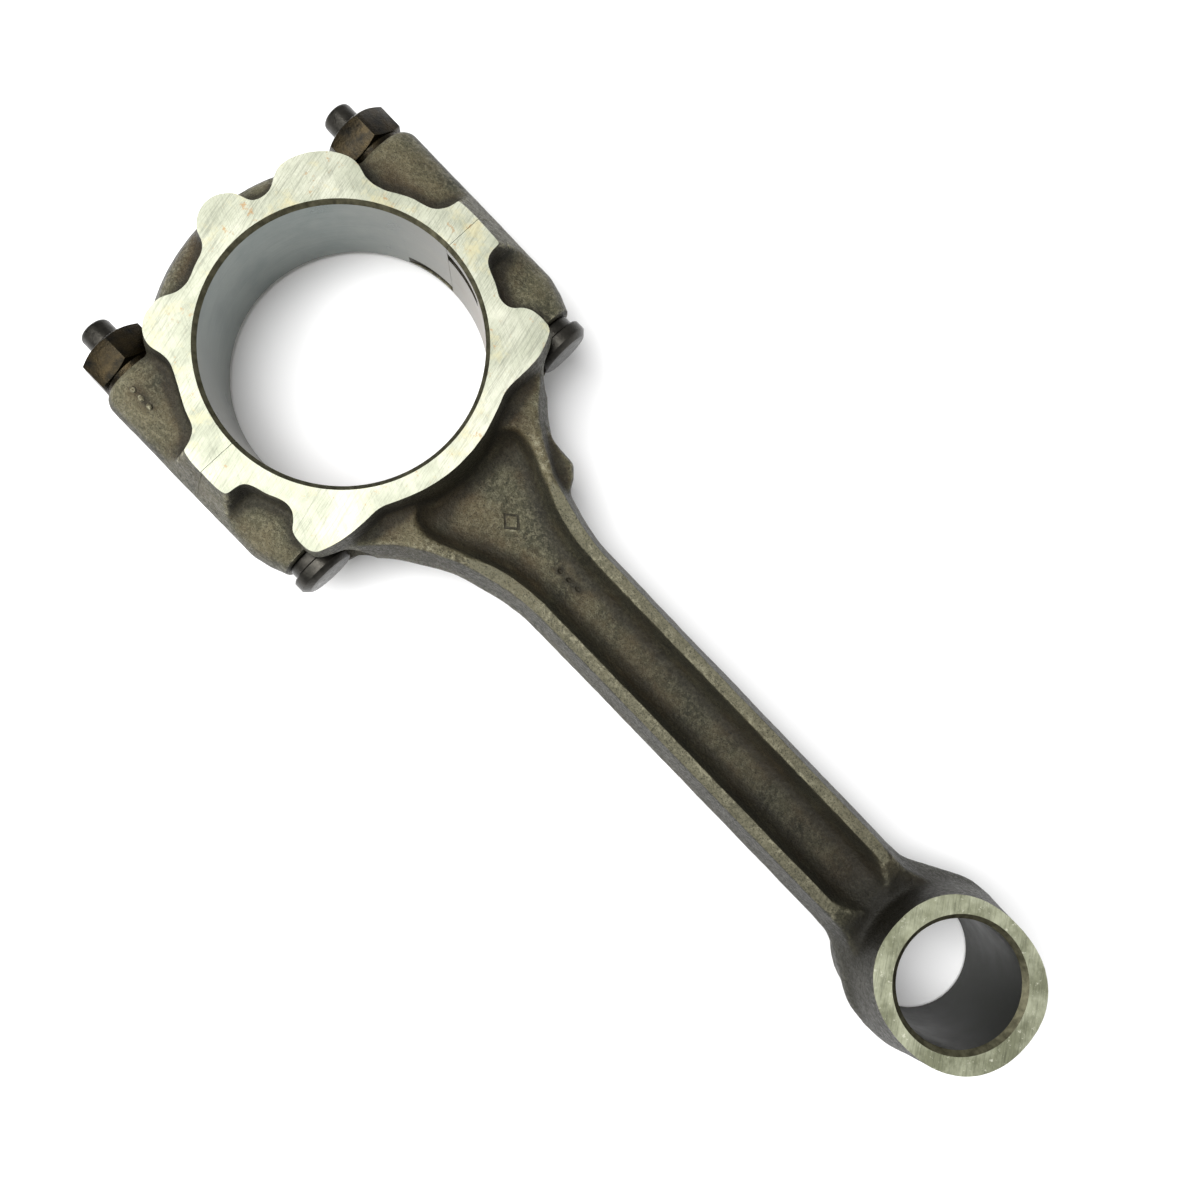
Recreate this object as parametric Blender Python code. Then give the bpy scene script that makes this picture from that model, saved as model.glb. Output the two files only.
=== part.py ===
"""Connecting rod of a small four-cylinder petrol engine: forged I-section rod, forged bearing cap,
two fitted cap bolts and their two hexagon nuts.

Every shape is drawn in millimetres in a drawing frame: X runs from the crank bore to the pin bore,
Y runs across the rod, Z is the height above the forging's middle plane, and the origin is the
centre of the crank bore. The model frame is the same, moved so that the rod lies on Z = 0 with the
middle of its outline at the origin.
"""

import math

import bmesh
import bpy
from mathutils import Vector

MM = 0.001

# Driving dimensions
CENTRES = 150.0
CRANK_BORE_R = 24.0
CRANK_HALF_WIDTH = 12.3
PIN_BORE_R = 11.0
PIN_HALF_WIDTH = 13.25
BOLT_Y = 28.75
THREAD_R = 4.0
PITCH = 1.0
NUT_FLATS = 12.0
BEAM_HALF_THICK = 7.3
DRAFT = 0.12

# Clearances
JOINT_GAP = 0.3
HOLE_R = THREAD_R + 0.3

# Levels along X, from the bolts' points to the far side of the pin end
BOLT_POINT_X = -34.6
NUT_LENGTH = 7.3
WASHER_FACE_LENGTH = 1.3
CAP_SEAT_X = -22.7
CAP_BACK_R = 36.0
CAP_BACK_FACE_R = 33.0
HEAD_SEAT_X = 19.9
HEAD_LENGTH = 3.0
HEAD_R = 5.6
COLLAR_LENGTH = 2.05
PIN_EYE_R = 16.2
PIN_EYE_FACE = (15.2, 14.0)
PIN_EYE_SQUARENESS = 0.9
ROD_END_X = CENTRES + PIN_EYE_R
MIDDLE_X = (ROD_END_X - CAP_BACK_R) / 2

# Sizes of the forging's features
BORE_CHAMFER = 0.7
BOSS_R = 7.45
BOSS_FILL_HALF = 6.6
WEB_HALF_THICK = 3.1
CHANNEL_WALL_RUN = 1.6
SIDE_LUG_HALF_THICK = 3.5
SEAT_CUT_LENGTH = 14.0
HOLE_CUT_HALF_LENGTH = 60.0
SHELL_NOTCH_DEPTH = 0.8
SHELL_NOTCH_WIDTH = 3.0
SHELL_NOTCH_LENGTH = 8.0
ROD_NOTCH_Z = 8.0
CAP_NOTCH_Z = -9.3

# Facets
ARC_STEP = math.radians(18)
BORE_STEPS = 72
SMALL_STEPS = 32


def place(point):
    """A point of the drawing frame, in metres in the model frame."""
    x, y, z = point
    return Vector(((x - MIDDLE_X) * MM, y * MM, (z + PIN_HALF_WIDTH) * MM))


def clear_scene():
    for obj in list(bpy.data.objects):
        bpy.data.objects.remove(obj, do_unlink=True)


def make_material(name, colour, roughness, metallic):
    material = bpy.data.materials.new(name)
    material.use_nodes = True
    shader = material.node_tree.nodes["Principled BSDF"]
    shader.inputs["Base Color"].default_value = (*colour, 1.0)
    shader.inputs["Roughness"].default_value = roughness
    shader.inputs["Metallic"].default_value = metallic
    material.diffuse_color = (*colour, 1.0)
    return material


def add_object(name, verts, faces, origin=(0.0, 0.0, 0.0)):
    """An object whose own origin is at a point of the drawing frame."""
    base = place(origin)
    mesh = bpy.data.meshes.new(name)
    mesh.from_pydata([place(v) - base for v in verts], [], faces)
    bm = bmesh.new()
    bm.from_mesh(mesh)
    bmesh.ops.recalc_face_normals(bm, faces=bm.faces)
    bm.to_mesh(mesh)
    bm.free()
    obj = bpy.data.objects.new(name, mesh)
    obj.location = base
    bpy.context.collection.objects.link(obj)
    return obj


def as_tool(obj):
    obj.hide_render = True
    obj.display_type = "WIRE"
    return obj


def combine(target, tool, operation):
    boolean = target.modifiers.new(tool.name, "BOOLEAN")
    boolean.operation = operation
    boolean.solver = "EXACT"
    boolean.object = as_tool(tool)


def join_all(target, tools):
    for tool in tools:
        combine(target, tool, "UNION")


def cut_all(target, tools):
    for tool in tools:
        combine(target, tool, "DIFFERENCE")


# Outlines: corners (x, y, radius) become polygons with round corners


def round_corner(before, corner, after):
    at = Vector(corner[:2])
    radius = corner[2]
    into = (Vector(before[:2]) - at).normalized()
    away = (Vector(after[:2]) - at).normalized()
    turn = math.pi - into.angle(away)
    if radius == 0 or turn < 0.02:
        return [tuple(at)]
    reach = radius * math.tan(turn / 2)
    reach = min(reach, 0.49 * (Vector(before[:2]) - at).length)
    reach = min(reach, 0.49 * (Vector(after[:2]) - at).length)
    radius = reach / math.tan(turn / 2)
    centre = at + (into + away).normalized() * (radius / math.cos(turn / 2))
    start = at + into * reach - centre
    sign = 1.0 if into.x * away.y - into.y * away.x < 0 else -1.0
    steps = max(2, math.ceil(turn / ARC_STEP))
    points = []
    for i in range(steps + 1):
        angle = sign * turn * i / steps
        c, s = math.cos(angle), math.sin(angle)
        points.append((centre.x + c * start.x - s * start.y, centre.y + s * start.x + c * start.y))
    return points


def rounded(corners):
    outline = []
    for i, corner in enumerate(corners):
        outline += round_corner(corners[i - 1], corner, corners[(i + 1) % len(corners)])
    return outline


def arc(centre, radius, start, end, steps):
    """Points on an arc, with its angles in degrees."""
    points = []
    for i in range(steps + 1):
        angle = math.radians(start + (end - start) * i / steps)
        points.append((centre[0] + radius * math.cos(angle), centre[1] + radius * math.sin(angle)))
    return points


def both_sides(upper):
    """A closed outline with round corners, from its corners on the +Y side and on the axis."""
    mirrored = [(x, -y, r) for x, y, r in reversed(upper) if y > 0]
    return rounded(upper + mirrored)


def grown(outline, distance):
    """The outline moved outward by a distance, corner by corner."""
    area = sum(
        a[0] * b[1] - b[0] * a[1] for a, b in zip(outline, outline[1:] + outline[:1])
    )
    side = 1.0 if area > 0 else -1.0
    result = []
    for i, point in enumerate(outline):
        back = Vector(point) - Vector(outline[i - 1])
        ahead = Vector(outline[(i + 1) % len(outline)]) - Vector(point)
        n1 = Vector((back.y, -back.x)).normalized() * side
        n2 = Vector((ahead.y, -ahead.x)).normalized() * side
        middle = n1 + n2
        scale = 2.0 / max(middle.length_squared, 1.2)
        result.append((point[0] + middle.x * scale * distance, point[1] + middle.y * scale * distance))
    return result


def skin(name, rings, origin=(0.0, 0.0, 0.0)):
    """A closed solid through rings of equal length, capped at both ends."""
    count = len(rings[0])
    verts = [v for ring in rings for v in ring]
    faces = [tuple(range(count)), tuple(range((len(rings) - 1) * count, len(rings) * count))]
    for level in range(len(rings) - 1):
        low, high = level * count, (level + 1) * count
        for i in range(count):
            j = (i + 1) % count
            faces.append((low + i, low + j, high + j, high + i))
    return add_object(name, verts, faces, origin)


def slab(name, outline, bottom, top):
    """A straight prism along Z."""
    return skin(name, [[(x, y, z) for x, y in outline] for z in (bottom, top)])


def forged_slab(name, face, half_height, waist=None):
    """A solid split at the middle plane: the outline at both faces, wider by the draft between."""
    waist = waist or grown(face, DRAFT * half_height)
    levels = [(face, -half_height), (waist, 0.0), (face, half_height)]
    return skin(name, [[(x, y, z) for x, y in ring] for ring, z in levels])


def pocket(name, side, mouth, mouth_z, floor, floor_z):
    """A tapered cutter, from beyond the mouth to the floor, on one side of the middle plane."""
    levels = [(mouth, mouth_z + 2.0), (mouth, mouth_z), (floor, floor_z)]
    return skin(name, [[(x, y, side * z) for x, y in ring] for ring, z in levels])


def block(name, low, high):
    outline = [(low[0], low[1]), (high[0], low[1]), (high[0], high[1]), (low[0], high[1])]
    return slab(name, outline, low[2], high[2])


def turned(name, profile, centre_y, steps=SMALL_STEPS, phase=0.0, origin=(0.0, 0.0, 0.0)):
    """A solid turned about an axis along X, from (x, radius) stations."""
    rings = []
    for x, radius in profile:
        ring = []
        for i in range(steps):
            angle = phase + 2 * math.pi * i / steps
            ring.append((x, centre_y + radius * math.cos(angle), radius * math.sin(angle)))
        rings.append(ring)
    return skin(name, rings, origin)


def bore_cutter(name, centre_x, radius, half_width, chamfer):
    """A bore along Z with a chamfer at each mouth."""
    past = half_width + 1.0
    profile = [
        (-past, radius + chamfer + 1.0),
        (-(half_width - chamfer), radius),
        (half_width - chamfer, radius),
        (past, radius + chamfer + 1.0),
    ]
    rings = []
    for z, r in profile:
        flat = arc((centre_x, 0.0), r, 0.0, 360.0, BORE_STEPS)[:-1]
        rings.append([(x, y, z) for x, y in flat])
    return skin(name, rings)


def finish(obj, material):
    obj.data.materials.clear()
    obj.data.materials.append(material)
    obj.data.shade_smooth()
    obj.data.set_sharp_from_angle(angle=math.radians(30))


# The crank end


def crank_face_rod_side():
    """The machined face on the rod's side: joint lug, bolt pocket, shoulder lug and shank arc."""
    upper = [
        (-2.0, 31.2, 0.0),
        (5.2, 31.2, 1.4),
        (5.4, 28.0, 1.5),
        (12.8, 24.0, 3.0),
        (16.6, 27.8, 2.0),
        (22.4, 27.8, 2.2),
        (24.4, 22.0, 3.0),
        (24.3, 14.2, 0.0),
        (27.3, 7.0, 0.0),
        (28.2, 0.0, 0.0),
    ]
    return both_sides(upper)


def crank_face_cap_side():
    """The machined face on the cap's side, whose two corner lugs and back pockets differ."""
    plus_y = [
        (2.0, 31.2, 0.0),
        (-4.6, 31.2, 1.4),
        (-5.0, 27.8, 1.5),
        (-15.0, 22.2, 3.0),
        (-22.6, 23.6, 3.0),
        (-29.8, 14.6, 2.5),
        (-26.2, 8.0, 1.5),
        (-31.4, 4.2, 1.5),
    ]
    minus_y = [
        (-32.6, -1.0, 2.0),
        (-30.8, -4.6, 1.5),
        (-27.4, -5.4, 1.5),
        (-24.2, -13.0, 2.5),
        (-26.6, -18.4, 2.0),
        (-23.2, -23.6, 2.0),
        (-16.0, -22.4, 3.0),
        (-5.0, -27.8, 1.5),
        (-4.6, -31.2, 1.4),
        (2.0, -31.2, 0.0),
    ]
    return rounded(plus_y + minus_y)


def bolt_boss(name, side, start_x, end_x, chamfer):
    profile = [(start_x, BOSS_R - chamfer), (start_x + chamfer, BOSS_R)]
    profile += [(end_x - chamfer, BOSS_R), (end_x, BOSS_R - chamfer)]
    return turned(name, profile, side * BOLT_Y, steps=24)


def crank_cutters(prefix):
    """The bore and the two bolt holes, as cut through rod and cap together."""
    tools = [bore_cutter(prefix + "_bore", 0.0, CRANK_BORE_R, CRANK_HALF_WIDTH, BORE_CHAMFER)]
    for side in (1, -1):
        profile = [(-HOLE_CUT_HALF_LENGTH, HOLE_R), (HOLE_CUT_HALF_LENGTH, HOLE_R)]
        tools.append(turned(f"{prefix}_bolt_hole_{side}", profile, side * BOLT_Y))
    return tools


def shell_notch(name, x_side, z):
    """A slot in the bore, from the joint to one side along X, that holds a bearing shell's tang."""
    x_ends = sorted((-x_side, x_side * SHELL_NOTCH_LENGTH))
    low = (x_ends[0], CRANK_BORE_R - 4.0, z - SHELL_NOTCH_WIDTH / 2)
    high = (x_ends[1], CRANK_BORE_R + SHELL_NOTCH_DEPTH, z + SHELL_NOTCH_WIDTH / 2)
    return block(name, low, high)


# The rod


def neck_outline():
    """The beam seen from above, from the crank end's shoulders to the pin eye."""
    upper = [
        (8.0, 26.0, 0.0),
        (20.5, 27.2, 2.0),
        (27.5, 18.6, 6.0),
        (36.5, 11.6, 12.0),
        (50.0, 8.5, 20.0),
        (63.0, 8.0, 0.0),
        (126.0, 8.0, 8.0),
        (136.5, 10.4, 8.0),
        (144.0, 13.4, 0.0),
    ]
    return both_sides(upper)


def channel_outline(inset):
    """The I-section's channel, with its three-cornered pocket next to the crank bore."""
    upper = [
        (30.5 + inset, 11.0 - 2 * inset, 2.5 - inset),
        (38.5, 9.0 - inset, 9.0),
        (52.0, 5.6 - inset, 14.0),
        (64.0, 5.3 - inset, 0.0),
        (132.0 - inset, 5.3 - inset, 4.4 - inset),
    ]
    return both_sides(upper)


def side_lug():
    """A low pad on the neck's +Y side, at the middle plane."""
    corners = [(32.0, 8.0, 0.0), (32.0, 15.9, 0.0), (41.2, 15.7, 1.2), (44.6, 10.6, 1.5), (44.6, 8.0, 0.0)]
    outline = rounded(corners)
    return forged_slab("side_lug", grown(outline, -DRAFT * SIDE_LUG_HALF_THICK), SIDE_LUG_HALF_THICK, outline)


def squared(value):
    """Pushes a sine or cosine outwards, which turns an ellipse into a rounder-cornered oblong."""
    return math.copysign(abs(value) ** PIN_EYE_SQUARENESS, value)


def pin_eye():
    face = [
        (CENTRES + PIN_EYE_FACE[0] * squared(x), PIN_EYE_FACE[1] * squared(y))
        for x, y in arc((0.0, 0.0), 1.0, 0.0, 360.0, BORE_STEPS)[:-1]
    ]
    waist = arc((CENTRES, 0.0), PIN_EYE_R, 0.0, 360.0, BORE_STEPS)[:-1]
    return forged_slab("pin_eye", face, PIN_HALF_WIDTH, waist)


def make_rod(material):
    rod = forged_slab("rod_body", crank_face_rod_side(), CRANK_HALF_WIDTH)
    join_all(rod, [forged_slab("neck", neck_outline(), BEAM_HALF_THICK), side_lug(), pin_eye()])
    for side in (1, -1):
        join_all(rod, [bolt_boss(f"rod_boss_{side}", side, -8.0, HEAD_SEAT_X, 1.2)])
    joint_side = block("joint_side", (-60.0, -50.0, -20.0), (JOINT_GAP / 2, 50.0, 20.0))
    cut_all(rod, [joint_side, shell_notch("rod_notch", 1, ROD_NOTCH_Z)] + crank_cutters("rod"))
    cut_all(rod, [bore_cutter("pin_bore", CENTRES, PIN_BORE_R, PIN_HALF_WIDTH, 1.0)])
    for side in (1, -1):
        name = f"channel_{side}"
        mouth, floor = channel_outline(0.0), channel_outline(CHANNEL_WALL_RUN)
        cut_all(rod, [pocket(name, side, mouth, BEAM_HALF_THICK, floor, WEB_HALF_THICK)])
        seat = [(HEAD_SEAT_X, BOSS_R + 0.4), (HEAD_SEAT_X + SEAT_CUT_LENGTH, BOSS_R + 0.4)]
        cut_all(rod, [turned(f"head_seat_{side}", seat, side * BOLT_Y)])
    finish(rod, material)
    return rod


# The cap


def cap_back_outline(radius):
    """The forged band behind the cap, round about the crank bore between the two bosses."""
    back = arc((0.0, 0.0), radius, 140.0, 220.0, 16)
    return [(2.0, -26.0), (2.0, 26.0), (-21.0, 26.0)] + back + [(-21.0, -26.0)]


def make_cap(material):
    cap = forged_slab("bearing_cap", crank_face_cap_side(), CRANK_HALF_WIDTH)
    band = forged_slab(
        "cap_back", cap_back_outline(CAP_BACK_FACE_R), BOSS_FILL_HALF, cap_back_outline(CAP_BACK_R)
    )
    join_all(cap, [band])
    for side in (1, -1):
        join_all(cap, [bolt_boss(f"cap_boss_{side}", side, CAP_SEAT_X, 8.0, 1.0)])
        seat = [(CAP_SEAT_X - SEAT_CUT_LENGTH, BOSS_R + 0.3), (CAP_SEAT_X, BOSS_R + 0.3)]
        cut_all(cap, [turned(f"nut_seat_{side}", seat, side * BOLT_Y)])
    joint_side = block("cap_joint_side", (-JOINT_GAP / 2, -50.0, -20.0), (60.0, 50.0, 20.0))
    cut_all(cap, [joint_side, shell_notch("cap_notch", -1, CAP_NOTCH_Z)] + crank_cutters("cap"))
    finish(cap, material)
    return cap


# Bolts and nuts


def make_bolt(name, side, material):
    """A fitted bolt: dog point, thread drawn at its mean radius, shank, collar and flatted head."""
    thread_r = THREAD_R - 0.65 * PITCH
    point_r = 2.95
    nut_end = CAP_SEAT_X - NUT_LENGTH
    head_x = HEAD_SEAT_X + COLLAR_LENGTH
    profile = [
        (BOLT_POINT_X, point_r - 0.7),
        (BOLT_POINT_X + 0.7, point_r),
        (nut_end - 0.4, point_r),
        (nut_end, thread_r),
        (CAP_SEAT_X + 4.0, thread_r),
        (CAP_SEAT_X + 5.0, THREAD_R),
        (HEAD_SEAT_X + JOINT_GAP, THREAD_R),
        (HEAD_SEAT_X + JOINT_GAP, 4.9),
        (head_x, 4.9),
        (head_x, HEAD_R),
        (head_x + HEAD_LENGTH - 0.9, HEAD_R),
        (head_x + HEAD_LENGTH, HEAD_R - 0.9),
    ]
    bolt = turned(name, profile, side * BOLT_Y, origin=(HEAD_SEAT_X, side * BOLT_Y, 0.0))
    flat_y = BOLT_Y - 4.6
    low = (head_x - 0.01, min(side * flat_y, side * 10.0), -10.0)
    high = (head_x + 10.0, max(side * flat_y, side * 10.0), 10.0)
    cut_all(bolt, [block(name + "_flat", low, high)])
    finish(bolt, material)
    return bolt


def make_nut(name, side, turn, material):
    """A hexagon nut chamfered at its outer end, with a round washer face against the cap."""
    seat_x = CAP_SEAT_X - JOINT_GAP
    corner_r = NUT_FLATS / 2 / math.cos(math.pi / 6)
    outer_x = seat_x - NUT_LENGTH + JOINT_GAP
    origin = (seat_x, side * BOLT_Y, 0.0)
    hexagon = [(outer_x, corner_r), (seat_x, corner_r)]
    nut = turned(name, hexagon, side * BOLT_Y, steps=6, phase=math.radians(turn), origin=origin)
    washer_x = seat_x - WASHER_FACE_LENGTH
    blank_profile = [
        (outer_x, NUT_FLATS / 2 - 0.5),
        (outer_x + 0.9, corner_r + 0.2),
        (washer_x - 0.2, corner_r + 0.2),
        (washer_x, NUT_FLATS / 2 - 0.3),
        (seat_x, NUT_FLATS / 2 - 0.3),
    ]
    blank = turned(name + "_blank", blank_profile, side * BOLT_Y)
    hole = [(outer_x - 5.0, THREAD_R - 0.3), (seat_x + 5.0, THREAD_R - 0.3)]
    combine(nut, blank, "INTERSECT")
    cut_all(nut, [turned(name + "_hole", hole, side * BOLT_Y)])
    finish(nut, material)
    return nut


def main():
    clear_scene()
    forging = make_material("forged_steel", (0.10, 0.09, 0.06), 0.6, 0.7)
    bolt_steel = make_material("bolt_steel", (0.06, 0.06, 0.06), 0.4, 0.8)
    nut_steel = make_material("nut_steel", (0.06, 0.05, 0.03), 0.4, 0.8)
    make_rod(forging)
    make_cap(forging)
    for word, side, turn in (("left", 1, 81.3), ("right", -1, 83.0)):
        make_bolt(f"cap_bolt_{word}", side, bolt_steel)
        make_nut(f"cap_nut_{word}", side, turn, nut_steel)


main()
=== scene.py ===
"""Visual model of a forged engine connecting rod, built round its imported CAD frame.

Shapes are drawn in millimetres in a drawing frame: X runs from the crank bore to the pin bore, Y
across the rod, Z up from the forging's middle plane, with the origin at the crank bore's centre.
`drawing_to_frame` moves finished meshes into the frame's metres. The rod and its cap are made as
the real ones are: a drafted, rounded forging blank first, then the machining cuts through it.
"""

import math

import bmesh
import bpy
import numpy as np
from mathutils import Matrix, Vector, noise


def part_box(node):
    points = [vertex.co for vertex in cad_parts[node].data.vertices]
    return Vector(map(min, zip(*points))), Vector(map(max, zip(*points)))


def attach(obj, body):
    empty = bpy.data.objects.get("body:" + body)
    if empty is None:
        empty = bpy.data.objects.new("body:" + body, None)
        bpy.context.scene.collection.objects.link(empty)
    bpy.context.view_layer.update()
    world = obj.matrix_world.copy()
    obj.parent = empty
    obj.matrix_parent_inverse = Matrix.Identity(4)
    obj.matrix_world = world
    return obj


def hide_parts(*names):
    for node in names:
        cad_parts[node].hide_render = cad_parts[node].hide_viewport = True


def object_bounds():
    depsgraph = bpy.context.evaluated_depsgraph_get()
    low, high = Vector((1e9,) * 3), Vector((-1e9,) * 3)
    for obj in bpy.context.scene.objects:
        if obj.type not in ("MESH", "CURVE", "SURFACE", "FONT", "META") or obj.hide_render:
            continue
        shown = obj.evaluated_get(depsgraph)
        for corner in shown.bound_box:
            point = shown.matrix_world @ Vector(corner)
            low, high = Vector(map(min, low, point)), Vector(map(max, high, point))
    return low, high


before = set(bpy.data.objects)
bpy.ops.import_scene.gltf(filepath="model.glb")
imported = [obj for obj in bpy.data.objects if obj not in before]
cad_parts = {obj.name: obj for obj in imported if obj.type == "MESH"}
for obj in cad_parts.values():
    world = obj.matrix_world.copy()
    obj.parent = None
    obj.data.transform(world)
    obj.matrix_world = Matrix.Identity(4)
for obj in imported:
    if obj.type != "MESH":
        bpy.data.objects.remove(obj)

CAD_LOW, CAD_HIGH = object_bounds()

MM = 0.001

# Levels read from the frame, in metres, then in the drawing frame's millimetres
ROD_LOW, ROD_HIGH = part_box("rod_body")
CAP_LOW, CAP_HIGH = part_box("bearing_cap")
BOLT_LOW, BOLT_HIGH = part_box("cap_bolt_left")
NUT_LOW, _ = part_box("cap_nut_left")
JOINT_X = (CAP_HIGH.x + ROD_LOW.x) / 2
MIDDLE_Z = (ROD_LOW.z + ROD_HIGH.z) / 2
CRANK_HALF_WIDTH = (CAP_HIGH.z - CAP_LOW.z) / 2 / MM
PIN_HALF_WIDTH = (ROD_HIGH.z - ROD_LOW.z) / 2 / MM
BOLT_POINT_X = (BOLT_LOW.x - JOINT_X) / MM
BOLT_END_X = (BOLT_HIGH.x - JOINT_X) / MM
NUT_OUTER_X = (NUT_LOW.x - JOINT_X) / MM
CAP_BACK_R = (JOINT_X - CAP_LOW.x) / MM
BOSS_OUTER_Y = CAP_HIGH.y / MM

# The pin eye's outside: round at the middle plane, oval and a little squared at its faces
PIN_EYE_MIDDLE_R = 16.2
PIN_EYE_FACE = (15.2, 14.0)
PIN_EYE_SWELL = (1.0, 2.2)
PIN_EYE_SQUARENESS, PIN_EYE_ROUNDING = 0.9, 0.1
CENTRES = (ROD_HIGH.x - JOINT_X) / MM - PIN_EYE_MIDDLE_R

# Machined features
CRANK_BORE_R = 24.0
CRANK_BORE_CHAMFER = 0.75
PIN_BORE_R = 11.0
PIN_BORE_CHAMFER = 0.9
BOSS_R = 7.45
BOLT_Y = BOSS_OUTER_Y - BOSS_R
SHANK_R = 4.0
HOLE_R = 4.25
NUT_SEAT_CUT_R = 7.75
HEAD_SEAT_CUT_R = 7.9
CAP_SEAT_X = -22.7
HEAD_SEAT_X = 19.9
COLLAR_LENGTH = 2.05
HEAD_R = 5.6
COLLAR_R = 4.65
JOINT_GAP = 0.08
COIN_START, COIN_END = 33.5, 130.0
FAR = 60.0  # past everything, for a cut that goes right through

# Threads and nuts
PITCH = 1.0
SLICES_PER_TURN = 12
THREAD_STEPS = 64
BOLT_CREST_R, BOLT_ROOT_R = 3.92, 3.36
NUT_CREST_R, NUT_ROOT_R = 4.05, 3.48
NUT_MOUTH_R = 4.3
NUT_HALF_FLATS = 6.0
POINT_R = 2.95

# Forging
VOXEL = 0.45
BEAM_HALF_THICK = 7.3
FLANGE_STOCK = 7.8
WEB_HALF_THICK = 3.1
ALLOWANCE = 1.5
EDGE_ROUNDS, FILLET_ROUNDS = 3, 14
CAP_SWELL = 1.11
SMOOTH_ANGLE = math.radians(32.0)

# Studio and camera: angles in degrees, lamps in metres and watts
WORLD_STRENGTH = 0.55
LAMPS = (
    ("softbox", (-0.26, -0.14, 0.90), 0.6, 10.0),
    ("key_light", (-0.18, -0.30, 0.32), 0.25, 0.95),
)
FLOOR_HALF_SIZE, FLOOR_DROP = 1.5, 0.0002
CAMERA_SPIN = -46.04
CAMERA_TILT = (-3.02, -4.38)
CAMERA_X, CAMERA_Y, CAMERA_RISE = 58.0, -16.7, 195.8
CAMERA_SENSOR, CAMERA_LENS = 36.0, 35.04


def drawing_to_frame():
    """From the drawing frame's millimetres to the frame's metres."""
    return Matrix.Translation((JOINT_X, 0.0, MIDDLE_Z)) @ Matrix.Scale(MM, 4)


# Mesh helpers, all in millimetres


def mesh_object(name, verts, faces):
    mesh = bpy.data.meshes.new(name)
    mesh.from_pydata([tuple(v) for v in verts], [], faces)
    bm = bmesh.new()
    bm.from_mesh(mesh)
    bmesh.ops.recalc_face_normals(bm, faces=bm.faces)
    bm.to_mesh(mesh)
    bm.free()
    obj = bpy.data.objects.new(name, mesh)
    bpy.context.collection.objects.link(obj)
    return obj


def loft(rings):
    """A closed skin through rings of equal length, as (vertices, faces)."""
    count = len(rings[0])
    verts = [v for ring in rings for v in ring]
    faces = [tuple(range(count)), tuple(range((len(rings) - 1) * count, len(rings) * count))]
    for level in range(len(rings) - 1):
        low, high = level * count, (level + 1) * count
        for i in range(count):
            j = (i + 1) % count
            faces.append((low + i, low + j, high + j, high + i))
    return verts, faces


def gathered(name, solids):
    """One object holding several solids, which may overlap."""
    verts, faces = [], []
    for part_verts, part_faces in solids:
        base = len(verts)
        verts += part_verts
        faces += [tuple(base + i for i in face) for face in part_faces]
    return mesh_object(name, verts, faces)


def evaluated(obj):
    """Replaces an object's mesh by what its modifiers make of it."""
    graph = bpy.context.evaluated_depsgraph_get()
    graph.update()
    mesh = bpy.data.meshes.new_from_object(obj.evaluated_get(graph))
    obj.modifiers.clear()
    old = obj.data
    obj.data = mesh
    bpy.data.meshes.remove(old)
    return obj


def machine(obj, solids, operation="DIFFERENCE"):
    """Cuts solids away one by one, or joins or keeps them."""
    for solid in solids:
        tool = mesh_object("tool", *solid)
        boolean = obj.modifiers.new("cut", "BOOLEAN")
        boolean.solver = "MANIFOLD"
        boolean.operation = operation
        boolean.object = tool
        evaluated(obj)
        bpy.data.objects.remove(tool)
    return obj


def revolve_z(centre, stations, steps):
    """A solid turned about a line along Z, from (z, radius) stations."""
    rings = []
    for z, radius in stations:
        ring = []
        for i in range(steps):
            a = 2 * math.pi * i / steps
            ring.append((centre[0] + radius * math.cos(a), centre[1] + radius * math.sin(a), z))
        rings.append(ring)
    return loft(rings)


def revolve_x(centre_y, stations, steps, phase=0.0):
    """A solid turned about a line along X, from (x, radius) stations."""
    rings = []
    for x, radius in stations:
        ring = []
        for i in range(steps):
            a = phase + 2 * math.pi * i / steps
            ring.append((x, centre_y + radius * math.cos(a), radius * math.sin(a)))
        rings.append(ring)
    return loft(rings)


def box_solid(low, high):
    xs, ys = (low[0], high[0]), (low[1], high[1])
    ring = [(xs[0], ys[0]), (xs[1], ys[0]), (xs[1], ys[1]), (xs[0], ys[1])]
    return loft([[(x, y, z) for x, y in ring] for z in (low[2], high[2])])


# Curves


def through(points, per_span=5):
    """Points on a smooth curve through a few chosen ones (a centripetal Catmull-Rom spline)."""
    pts = [Vector(p) for p in points]
    count = len(pts)
    out = []
    for i in range(count - 1):
        p1, p2 = pts[i], pts[i + 1]
        p0 = pts[i - 1] if i else 2 * p1 - p2
        p3 = pts[i + 2] if i + 2 < count else 2 * p2 - p1
        t1 = max((p1 - p0).length, 1e-6) ** 0.5
        t2 = t1 + max((p2 - p1).length, 1e-6) ** 0.5
        t3 = t2 + max((p3 - p2).length, 1e-6) ** 0.5
        for k in range(per_span):
            t = t1 + (t2 - t1) * k / per_span
            a1 = p0 * (t1 - t) / t1 + p1 * t / t1
            a2 = p1 * (t2 - t) / (t2 - t1) + p2 * (t - t1) / (t2 - t1)
            a3 = p2 * (t3 - t) / (t3 - t2) + p3 * (t - t2) / (t3 - t2)
            b1 = a1 * (t2 - t) / t2 + a2 * t / t2
            b2 = a2 * (t3 - t) / (t3 - t1) + a3 * (t - t1) / (t3 - t1)
            out.append(tuple(b1 * (t2 - t) / (t2 - t1) + b2 * (t - t1) / (t2 - t1)))
    out.append(tuple(pts[-1]))
    return out


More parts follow.
